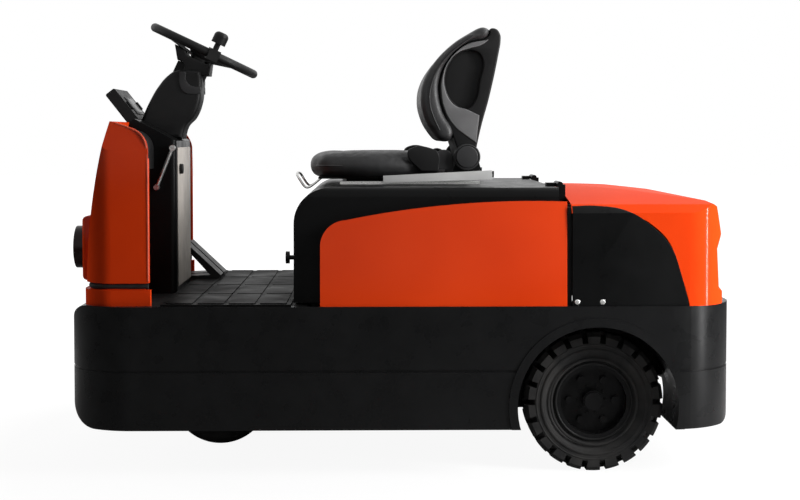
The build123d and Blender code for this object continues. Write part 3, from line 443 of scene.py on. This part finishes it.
def plate(outline, middle, half, edge, hole=None, from_above=False):
    """A moulded plate with rounded edges, all in millimetres.

    The outline runs behind the front end and up, or to the side when drawn from above.
    It is smooth except where a point is marked as a corner.
    """
    curve = bpy.data.curves.new("plate", "CURVE")
    curve.dimensions = "2D"
    curve.fill_mode = "BOTH"
    curve.extrude = (half - edge) / 1000
    curve.bevel_depth = edge / 1000
    curve.bevel_resolution = 3
    curve.offset = -edge / 1000
    curve.resolution_u = 8
    for line in (outline, hole) if hole else (outline,):
        spline = curve.splines.new("BEZIER")
        spline.bezier_points.add(len(line) - 1)
        spline.use_cyclic_u = True
        for point, (behind, up, *kind) in zip(spline.bezier_points, line):
            point.co = (front_end + behind / 1000, up / 1000, 0)
            handle = "VECTOR" if kind else "AUTO"
            point.handle_left_type = handle
            point.handle_right_type = handle
    piece = bpy.data.objects.new("plate", curve)
    bpy.context.scene.collection.objects.link(piece)
    if from_above:
        piece.location.z = middle / 1000
    else:
        piece.rotation_euler = facing_side
        piece.location.y = middle / 1000
    select_only(piece)
    bpy.ops.object.convert(target="MESH")
    return bpy.context.active_object


def both_sides(outline, middle, half, edge, name, finish, body):
    """Two equal plates, one on each side of the vehicle."""
    pair = [plate(outline, side * middle, half, edge) for side in (-1, 1)]
    return finish_piece(joined(pair), name, finish, body)


# Padded seat: cloth under pressure, held along its seams and underside

voxel = 0.006
stuffing_pressure = 4.0
stuffing_steps = 20
seam_half = 0.004


def stuffed(node, pad, name, held, cap):
    """A padded piece in place of a soft CAD solid. Held tests which points of its skin stay still."""
    select_only(pad)
    bpy.ops.object.transform_apply(location=True, rotation=True, scale=True)
    bpy.ops.object.mode_set(mode="EDIT")
    bpy.ops.mesh.select_all(action="SELECT")
    bpy.ops.mesh.remove_doubles(threshold=0.0001)
    bpy.ops.mesh.normals_make_consistent(inside=False)
    bpy.ops.object.mode_set(mode="OBJECT")
    pad.data.remesh_voxel_size = voxel
    bpy.ops.object.voxel_remesh()
    start = [vertex.co.copy() for vertex in pad.data.vertices]
    pins = pad.vertex_groups.new(name="held")
    pins.add([i for i, point in enumerate(start) if held(point)], 1.0, "REPLACE")
    cloth = pad.modifiers.new("stuffing", "CLOTH")
    cloth.settings.use_pressure = True
    cloth.settings.uniform_pressure_force = stuffing_pressure
    cloth.settings.effector_weights.gravity = 0.0
    cloth.settings.vertex_group_mass = "held"
    cloth.settings.quality = 5
    for step in range(1, stuffing_steps + 1):
        bpy.context.scene.frame_set(step)
    apply_all(pad)
    bpy.context.scene.frame_set(1)
    for vertex, origin in zip(pad.data.vertices, start):
        move = vertex.co - origin
        if move.length > cap:
            vertex.co = origin + move.normalized() * cap
    skin = pad.modifiers.new("skin", "SUBSURF")
    skin.levels = 1
    skin.render_levels = 1
    apply_all(pad)
    finish_piece(pad, name, vinyl, frame["nodes"][node]["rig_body"], 180)
    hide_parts(node)
    return pad


def on_skin(pad, points, lift):
    """The points moved on to the pad's skin and lifted off it a little."""
    found = []
    for point in points:
        place, normal = pad.closest_point_on_mesh(point)[1:3]
        found.append(place + normal * lift)
    return found


def rounded_rectangle(centre, half_x, half_y, bend, steps=8):
    """Points round a rectangle with rounded corners, in the plane of Z."""
    points = []
    for turn, (sign_x, sign_y) in enumerate(((1, 1), (-1, 1), (-1, -1), (1, -1))):
        middle = Vector((sign_x * (half_x - bend), sign_y * (half_y - bend), 0))
        for step in range(steps + 1):
            angle = (turn + step / steps) * math.pi / 2
            points.append(centre + middle + bend * Vector((math.cos(angle), math.sin(angle), 0)))
    return points


def seat_cushion():
    bolster = 0.155
    cross = [spot(850, 0, 0).x, spot(985, 0, 0).x]
    shape = [
        (777, -232), (734, -188), (734, 188), (777, 232),
        (1066, 232), (1108, 196), (1108, -196), (1066, -232),
    ]
    pad = plate(shape, 909, 39, 34, from_above=True)

    def held(point):
        on_top = point.z > 0.915
        along = abs(abs(point.y) - bolster) < seam_half
        across = abs(point.y) < bolster and min(abs(point.x - x) for x in cross) < seam_half
        return point.z < 0.884 or on_top and (along or across)

    pad = stuffed("seat_cushion", pad, "seat_cushion_pad", held, 0.014)
    edge = rounded_rectangle(spot(917, 0, 908), 0.21, 0.26, 0.09)
    skin = on_skin(pad, edge, 0.001)
    rod(skin, 0.006, "seat_cushion_piping", vinyl, "seat", closed=True)


def near_line(point, line, reach):
    """Whether the point lies within reach of a line drawn in side view."""
    for start, end in zip(line, line[1:]):
        span = end - start
        along = max(0, min(1, (point - start).dot(span) / span.dot(span)))
        if (start + along * span - point).length < reach:
            return True
    return False


pad_front = [
    (1124, 984), (1086, 1018), (1060, 1070), (1052, 1123), (1062, 1174),
    (1092, 1226), (1137, 1275), (1195, 1315), (1262, 1336),
]
pad_joint = [
    (1264, 1316), (1196, 1291), (1140, 1240), (1113, 1184), (1110, 1127), (1122, 1078), (1152, 1000),
]
shell_back = [
    (1267, 1333), (1286, 1336), (1300, 1320), (1302, 1296), (1298, 1270), (1268, 1127),
    (1241, 1027), (1218, 918, corner), (1176, 918, corner), (1166, 962),
]
side_hollow = [
    (1168, 1256), (1213, 1268), (1242, 1248), (1236, 1169), (1220, 1107),
    (1199, 1088), (1160, 1103), (1133, 1146), (1132, 1200), (1147, 1232),
]
side_band = [
    (1266, 1302, corner), (1192, 1285), (1142, 1238), (1118, 1182), (1117, 1129), (1128, 1081),
    (1156, 1034), (1194, 1002), (1226, 980, corner), (1236, 1066, corner), (1200, 1083), (1157, 1099),
    (1129, 1146), (1128, 1201), (1144, 1235), (1167, 1260), (1214, 1277), (1240, 1284),
]


def backrest():
    bolster = 0.15
    pad = plate(pad_front + pad_joint, 0, 229, 21)
    joint = [Vector((spot(behind, 0, up).x, up / 1000)) for behind, up in pad_joint]
    seam_heights = (1.1, 1.215)

    def held(point):
        if near_line(Vector((point.x, point.z)), joint, 0.015):
            return True
        along = abs(abs(point.y) - bolster) < seam_half
        across = abs(point.y) < bolster and min(abs(point.z - z) for z in seam_heights) < seam_half
        return along or across

    pad = stuffed("backrest_cushion", pad, "backrest_pad", held, 0.012)
    for side, name in ((-1, "left"), (1, "right")):
        line = [
            spot(behind + 25, side * 240, up) for behind, up in pad_front[1:-1]
        ]
        rod(
            on_skin(pad, line, 0.001), 0.005, f"backrest_piping_{name}", vinyl,
            "backrest",
        )
    hollow = [(behind + 1, up) for behind, up in reversed(pad_joint)]
    shape = hollow + shell_back
    core = plate(shape, 0, 197, 8)
    flanks = [plate(shape, side * 206, 12, 6, side_hollow) for side in (-1, 1)]
    shell = joined([core] + flanks)
    finish_piece(shell, "backrest_moulding", plastic_black, "backrest")
    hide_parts("backrest_shell")
    # C-shaped side bands in light grey: a painted highlight along the dark shell's curved edge.
    both_sides(
        side_band, 216.5, 4, 3, "backrest_side_bands", painted_highlight_grey, "backrest"
    )


seat_cushion()
backrest()


# Seat hardware: side blocks, bright bracket strips and recline knobs

def seat_hardware():
    block_shape = [
        (1010, 950), (1024, 965), (1086, 963), (1106, 950), (1107, 892, corner), (1052, 892, corner),
    ]
    both_sides(block_shape, 252, 9, 4, "seat_side_blocks", plastic_black, "seat")
    link_shape = [(1104, 952), (1146, 950), (1150, 898, corner), (1104, 898, corner)]
    both_sides(link_shape, 253, 7, 3, "recline_links", shell_grey, "seat")
    strip_shape = [
        (935, 857, corner), (1272, 867, corner), (1272, 896, corner), (935, 879, corner),
    ]
    both_sides(strip_shape, 271.5, 1.5, 0.7, "seat_bracket_strips", bracket_grey, "seat")
    caps = []
    for side in (-1, 1):
        cap = disc(spot(1194, side * 280, 937), 0.034, 0.008, facing_side, 64)
        rounded(cap, 0.003, 4)
        caps += [cap, ring(spot(1194, side * 278.5, 937), 0.0375, 0.0025, facing_side, 0.8, 72, 10)]
    finish_piece(joined(caps), "recline_knob_caps", shell_grey, "seat")


def slide_handle():
    """The bent wire under the seat's front edge that frees the slide."""
    arm = [(738, 868), (716, 848), (690, 832), (672, 858), (658, 882)]
    wire = [spot(behind, -110, up) for behind, up in arm]
    wire += [spot(658, 110, 882)] + [spot(behind, 110, up) for behind, up in reversed(arm[:-1])]
    rod(wire, 0.008, "slide_handle_wire", zinc, "seat")
    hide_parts("slide_handle")


seat_hardware()
slide_handle()


# Steering column: curved cover, switch housing and bracket

wheel_hub = spot(355, 0, 1278)
wheel_lean = math.radians(25.4)
wheel_axis = Vector((math.sin(wheel_lean), 0, math.cos(wheel_lean)))


def steering_column():
    cover_shape = [
        (150, 1034, corner), (160, 1062), (184, 1115), (212, 1162), (243, 1197), (268, 1212),
        (346, 1212, corner), (352, 1180), (350, 1151), (345, 1111), (325, 1061), (300, 1033),
        (288, 992, corner), (232, 992, corner),
    ]
    cover = plate(cover_shape, 0, 56, 14)
    finish_piece(cover, "column_shroud", plastic_black, "truck")
    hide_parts("column_cover")
    housing_shape = [
        (264, 1298, corner), (296, 1284, corner), (304, 1262, corner), (366, 1233, corner),
        (380, 1240, corner), (374, 1196, corner), (296, 1196, corner), (288, 1238),
        (272, 1248, corner),
    ]
    housing = plate(housing_shape, 0, 44, 5)
    finish_piece(housing, "column_switch_housing", plastic_black, "truck")
    yoke_shape = [
        (281, 1208, corner), (281, 1168), (296, 1142), (324, 1136), (350, 1138, corner),
        (350, 1160, corner), (322, 1162), (304, 1176), (301, 1208, corner),
    ]
    boss = cone(
        wheel_hub - 0.014 * wheel_axis, 0.038, 0.052, 0.024, (0, wheel_lean, 0)
    )
    rounded(boss, 0.004, 4)
    finish_piece(boss, "steering_wheel_boss", grip_black, "steering_wheel")
    both_sides(yoke_shape, 58, 4, 2, "column_yokes", shell_grey, "truck")


steering_column()


# Front cowl trim: rolled edges with painted highlight, a joint rod as painted shade, display, headlamps,
# console back with painted sheen

lamp_side = 330
lamp_height = 666
panel_rise = math.radians(128)


def cowl_trim():
    # Rolled rear edges of the cowl, in a lighter orange that paints their highlight.
    for side, name in ((-1, "left"), (1, "right")):
        edge = [
            spot(247, side * 508, 578), spot(247, side * 508, 760), spot(247, side * 508, 930),
            spot(244, side * 505, 972), spot(232, side * 498, 1002), spot(205, side * 490, 1022),
            spot(150, side * 483, 1039),
        ]
        rod(edge, 0.007, f"cowl_edge_{name}", painted_highlight_orange, "truck")
    # A black rubber rod fills the joint under the cowl: painted shade for the joint's dark line.
    half_joint_rod = [(246, 497), (160, 497), (110, 495), (72, 468), (69, 400)]
    joint_rod = [spot(behind, -side, 562) for behind, side in half_joint_rod]
    joint_rod += [spot(behind, side, 562) for behind, side in reversed(half_joint_rod)]
    rod(joint_rod, 0.018, "cowl_joint_shade_rod", rubber, "truck")


def headlamp(side, name):
    box = block(spot(62, side * lamp_side, lamp_height + 1), (0.052, 0.176, 0.192))
    rounded(box, 0.014, 5)
    finish_piece(box, f"headlamp_box_{name}", orange, "truck")
    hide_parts(f"headlamp_{name}")
    barrel = disc(spot(22, side * lamp_side, lamp_height), 0.064, 0.036, facing_front, 96)
    bpy.ops.object.transform_apply(location=True, rotation=True, scale=True)
    bpy.ops.object.mode_set(mode="EDIT")
    bpy.ops.mesh.select_all(action="DESELECT")
    bpy.ops.object.mode_set(mode="OBJECT")
    for face in barrel.data.polygons:
        face.select = face.normal.x < -0.9
    bpy.ops.object.mode_set(mode="EDIT")
    bpy.ops.mesh.inset(thickness=0.009)
    bpy.ops.transform.translate(value=(0.012, 0, 0))
    bpy.ops.mesh.inset(thickness=0.02)
    bpy.ops.transform.translate(value=(0.006, 0, 0))
    bpy.ops.object.mode_set(mode="OBJECT")
    rounded(barrel, 0.0025, 3)
    finish_piece(barrel, f"headlamp_bezel_{name}", lamp_black, "truck")
    dish = disc(spot(17.5, side * lamp_side, lamp_height), 0.0535, 0.003, facing_front, 96)
    rounded(dish, 0.001, 3)
    finish_piece(dish, f"headlamp_lens_{name}", lens, "truck")


def console_back():
    # A thin pale plate on the console's rear face, its colour a painted sheen from the light behind.
    panel = block(spot(286, 0, 745), (0.003, 0.3, 0.44))
    rounded(panel, 0.001, 3)
    finish_piece(panel, "console_back_sheen_panel", painted_sheen_grey, "truck")
    switch = disc(spot(292, -110, 897), 0.016, 0.014, facing_front, 32)
    rounded(switch, 0.003, 3)
    finish_piece(switch, "key_switch", plastic_black, "truck")


def instrument_display():
    """The glass display and two switches on the panel's leaning rear face."""
    lean = -panel_rise
    up_panel = Vector((math.cos(panel_rise), 0, math.sin(panel_rise)))
    to_driver = Vector((up_panel.z, 0, -up_panel.x))
    face = spot(118, 0, 1078) + 0.018 * to_driver
    middle = face + 0.012 * up_panel
    bezel = block(middle, (0.07, 0.13, 0.006), (0, lean, 0))
    rounded(bezel, 0.002, 3)
    finish_piece(bezel, "display_bezel", panel_trim, "truck")
    glass = block(middle + 0.003 * to_driver, (0.054, 0.112, 0.002), (0, lean, 0))
    rounded(glass, 0.0008, 3)
    finish_piece(glass, "display_glass", screen, "truck")
    caps = []
    for side in (-1, 1):
        place = middle + Vector((0, side * 0.088, 0)) + 0.003 * to_driver
        cap = block(place, (0.03, 0.018, 0.008), (0, lean, 0))
        rounded(cap, 0.0025, 3)
        caps.append(cap)
    finish_piece(joined(caps), "panel_switches", panel_trim, "truck")


cowl_trim()
instrument_display()
headlamp(-1, "left")
headlamp(1, "right")
console_back()


# Rear hood side insets, following the hood's flank and its leaning shoulder, and the body's seals

inset_front = 1484
shoulder = 0.777
shoulder_lean = 20 / 24


def inset_cover(side, name):
    shape = [
        (inset_front + 2, 504, corner), (inset_front + 2, 797, corner), (1559, 798),
        (1648, 783), (1719, 738), (1774, 680), (1805, 599), (1829, 504, corner),
    ]
    cover = plate(shape, side * 532, 1.6, 0.8)
    select_only(cover)
    bpy.ops.object.transform_apply(location=True, rotation=True, scale=True)
    bpy.ops.object.mode_set(mode="EDIT")
    bpy.ops.mesh.select_all(action="SELECT")
    bpy.ops.mesh.bisect(plane_co=(0, 0, shoulder), plane_no=(0, 0, 1))
    bpy.ops.object.mode_set(mode="OBJECT")
    for vertex in cover.data.vertices:
        vertex.co.y -= side * shoulder_lean * max(0, vertex.co.z - shoulder)
    finish_piece(cover, f"rear_inset_cover_{name}", hood_black, "truck")
    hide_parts(f"rear_inset_{name}")


def body_seams():
    """Rubber seals in the joints ahead of the rear hood, and closing strips beside the hood's front."""
    upright = [(1470, 500, corner), (1470, 774, corner), (1486, 774, corner), (1486, 500, corner)]
    both_sides(upright, 513, 12, 1.5, "side_panel_seals", rubber, "truck")
    across = block(spot(1483, 0, 650), (0.006, 1.02, 0.3))
    rounded(across, 0.001, 2)
    finish_piece(across, "rear_hood_seal", rubber, "truck")
    closing = [(668, 486, corner), (668, 500, corner), (772, 500, corner), (772, 486, corner)]
    both_sides(closing, 500, 28, 1.5, "sill_closing_strips", chassis_black, "truck")


inset_cover(-1, "left")
inset_cover(1, "right")
body_seams()


# Rear wheels: sidewall rings, rim lips and hub studs

axle_behind = 1563
axle_height = 208
stud_circle = 42
stud_count = 10


def rear_wheel(side, body):
    axle = spot(axle_behind, side * 455, axle_height)
    name = "left" if side < 0 else "right"
    rings = []
    for radius, section in ((0.128, 0.004), (0.156, 0.005), (0.172, 0.0025)):
        rings.append(ring(axle, radius, section, facing_side, 0.5))
    finish_piece(joined(rings), f"sidewall_rings_{name}", rubber, body)
    lip = ring(spot(axle_behind, side * 446, axle_height), 0.1135, 0.004, facing_side, 0.7)
    finish_piece(lip, f"rim_lip_{name}", rim_gloss, body)
    studs = []
    for step in range(stud_count):
        angle = step * math.tau / stud_count
        behind = axle_behind + stud_circle * math.cos(angle)
        place = spot(behind, side * 402, axle_height + stud_circle * math.sin(angle))
        stud = disc(place, 0.005, 0.014, facing_side, 6)
        rounded(stud, 0.001, 2)
        studs.append(stud)
    finish_piece(joined(studs), f"hub_studs_{name}", rim_black, body)


rear_wheel(-1, "rear_wheel_left")
rear_wheel(1, "rear_wheel_right")


# Fasteners and small fittings seen in the photograph

def inset_bolts(side):
    name = "left" if side < 0 else "right"
    bolts = []
    for behind in (inset_front + 17, inset_front + 91):
        head = disc(spot(behind, side * 531, 517), 0.0085, 0.008, facing_side, 40)
        rounded(head, 0.003, 4)
        washer = disc(spot(behind, side * 528.5, 517), 0.012, 0.003, facing_side, 40)
        rounded(washer, 0.0008, 2)
        bolts += [head, washer]
    finish_piece(joined(bolts), f"inset_bolts_{name}", zinc, "truck")


inset_bolts(-1)
inset_bolts(1)


# Floor, light and camera as in the photograph

def floor():
    deselect()
    bpy.ops.mesh.primitive_plane_add(size=60, location=(0, 0, 0))
    ground = bpy.context.active_object
    ground.name = "floor"
    finish = bpy.data.materials.new("floor_pale")
    finish.use_nodes = True
    tree = finish.node_tree
    shader = tree.nodes["Principled BSDF"]
    shader.inputs["Base Color"].default_value = (0.5, 0.5, 0.5, 1)
    shader.inputs["Roughness"].default_value = 0.9
    shader.inputs["Specular IOR Level"].default_value = 0.0
    glow = tree.nodes.new("ShaderNodeEmission")
    glow.inputs["Color"].default_value = (1, 1, 1, 1)
    glow.inputs["Strength"].default_value = 1.16
    place = tree.nodes.new("ShaderNodeTexCoord")
    distance = tree.nodes.new("ShaderNodeVectorMath")
    distance.operation = "LENGTH"
    tree.links.new(place.outputs["Object"], distance.inputs[0])
    share = tree.nodes.new("ShaderNodeMapRange")
    share.inputs["From Min"].default_value = 1.3
    share.inputs["From Max"].default_value = 2.6
    share.inputs["To Min"].default_value = 0.8
    share.inputs["To Max"].default_value = 1.0
    tree.links.new(distance.outputs["Value"], share.inputs["Value"])
    path = tree.nodes.new("ShaderNodeLightPath")
    seen = tree.nodes.new("ShaderNodeMath")
    seen.operation = "MULTIPLY"
    mix = tree.nodes.new("ShaderNodeMixShader")
    tree.links.new(path.outputs["Is Camera Ray"], seen.inputs[0])
    tree.links.new(share.outputs["Result"], seen.inputs[1])
    tree.links.new(seen.outputs["Value"], mix.inputs["Fac"])
    tree.links.new(shader.outputs["BSDF"], mix.inputs[1])
    tree.links.new(glow.outputs["Emission"], mix.inputs[2])
    tree.links.new(mix.outputs["Shader"], tree.nodes["Material Output"].inputs["Surface"])
    ground.data.materials.append(finish)
    deselect()


def world(ambient):
    """White where the camera, gloss or glass sees it, and a soft level as light."""
    sky = bpy.data.worlds.new("studio")
    sky.use_nodes = True
    bpy.context.scene.world = sky
    tree = sky.node_tree
    background = tree.nodes["Background"]
    background.inputs["Color"].default_value = (1, 1, 1, 1)
    path = tree.nodes.new("ShaderNodeLightPath")
    seen = path.outputs["Is Camera Ray"]
    for kind in ("Is Glossy Ray", "Is Transmission Ray"):
        either = tree.nodes.new("ShaderNodeMath")
        either.operation = "MAXIMUM"
        tree.links.new(seen, either.inputs[0])
        tree.links.new(path.outputs[kind], either.inputs[1])
        seen = either.outputs["Value"]
    level = tree.nodes.new("ShaderNodeMapRange")
    level.inputs["To Min"].default_value = ambient
    level.inputs["To Max"].default_value = 1.0
    tree.links.new(seen, level.inputs["Value"])
    tree.links.new(level.outputs["Result"], background.inputs["Strength"])


def softbox(name, place, target, width, height, power, glossy=True):
    """A soft lamp. One that isn't glossy fills the shade and leaves no reflection."""
    lamp = bpy.data.lights.new(name, "AREA")
    lamp.shape = "RECTANGLE"
    lamp.size = width
    lamp.size_y = height
    lamp.energy = power
    holder = bpy.data.objects.new(name, lamp)
    holder.location = place
    holder.visible_glossy = glossy
    holder.rotation_euler = (Vector(target) - Vector(place)).to_track_quat("-Z", "Y").to_euler()
    bpy.context.scene.collection.objects.link(holder)


def photo_camera():
    """Stands where the photograph was taken from, beside the left side."""
    lens_angle = bpy.data.cameras.new("photo_camera")
    lens_angle.lens = 64.45
    lens_angle.sensor_width = 36.0
    camera = bpy.data.objects.new("photo_camera", lens_angle)
    camera.location = (-0.1175, -4.69, 1.006)
    lens_angle.shift_y = -0.07
    pitch_down = math.radians(2.376)
    turn_to_rear = math.radians(1.0)
    camera.rotation_euler = (math.pi / 2 - pitch_down, 0, -turn_to_rear)
    bpy.context.scene.collection.objects.link(camera)
    bpy.context.scene.camera = camera


floor()
world(0.06)
softbox("key_rear", (2.5, -1.45, 1.7), (0.5, -0.4, 0.6), 1.2, 1.2, power=84)
softbox("top", (1.7, 0.2, 3.0), (0.3, 0, 0.5), 2.0, 1.4, power=48)
softbox("far_side", (-0.6, 3.6, 2.0), (0.1, 0.4, 0.5), 1.6, 1.0, power=40, glossy=False)
softbox("front", (-3.6, 0.9, 1.7), (-0.8, 0.1, 0.6), 1.2, 1.2, power=32, glossy=False)
softbox("rear_strip", (3.0, -1.5, 0.8), (0.9, -0.3, 0.5), 0.12, 1.4, power=55)
photo_camera()
bpy.context.scene.view_settings.view_transform = "Standard"
